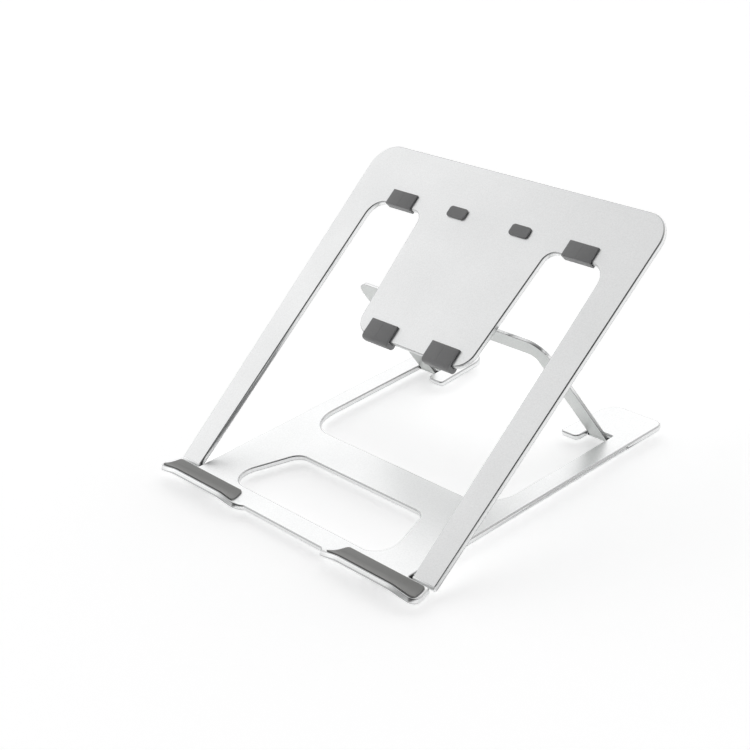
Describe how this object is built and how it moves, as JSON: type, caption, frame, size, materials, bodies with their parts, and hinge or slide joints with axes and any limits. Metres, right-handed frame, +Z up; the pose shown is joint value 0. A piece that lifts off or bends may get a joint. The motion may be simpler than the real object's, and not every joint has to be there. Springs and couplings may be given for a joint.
{
  "type": "laptop stand",
  "caption": "Folding sheet-metal laptop stand: hinged top plate with soft pads leans on a prop bracket above a flat base with curved front lips.",
  "frame": {"origin": "middle of the underside of the whole stand, on the desk", "axes": "+Z up, +Y towards the back (the raised edge of the top plate), +X to the right seen from the front"},
  "size_m": [0.2558, 0.2252, 0.1485],
  "materials": {
    "base_metal": "fine bead-blasted satin, bright bevelled edges",
    "plate_metal": "fine bead-blasted satin, bright bevelled edges",
    "prop_metal": "fine bead-blasted satin",
    "pin_steel": "turned",
    "screw_steel": "plain",
    "washer": "matt black",
    "front_pad": "matt silicone",
    "clip_pad": "matt silicone",
    "foot": "matt",
    "stop_rail": "matt black"
  },
  "bodies": {
    "base": {"base_plate": "base_metal", "hinge_pin_left": "pin_steel", "hinge_pin_right": "pin_steel", "prop_pin_left": "pin_steel", "prop_pin_right": "pin_steel", "hinge_washer_left": "washer", "hinge_washer_right": "washer", "prop_washer_outer_left": "washer", "prop_washer_outer_right": "washer", "prop_washer_inner_left": "washer", "prop_washer_inner_right": "washer", "front_pad_left": "front_pad", "front_pad_right": "front_pad", "foot_front_left": "foot", "foot_front_right": "foot", "foot_rear_left": "foot", "foot_rear_right": "foot"},
    "top": {"top_plate": "plate_metal", "upper_clip_pad_left": "clip_pad", "upper_clip_pad_right": "clip_pad", "lower_clip_pad_left": "clip_pad", "lower_clip_pad_right": "clip_pad", "dot_pad_left": "clip_pad", "dot_pad_right": "clip_pad", "stop_rail": "stop_rail", "stop_screw_left": "screw_steel", "stop_screw_right": "screw_steel"},
    "prop": {"prop_bracket": "prop_metal"}
  },
  "joints": [
    {"name": "plate_hinge", "type": "hinge", "parent": "base", "child": "top", "pos_m": [0, -0.09234, 0.00515], "axis": [1, 0, 0], "range_deg": [0, 72]},
    {"name": "prop_hinge", "type": "hinge", "parent": "base", "child": "prop", "pos_m": [0, 0.07966, 0.00515], "axis": [1, 0, 0], "range_deg": [0, 62.4]}
  ]
}
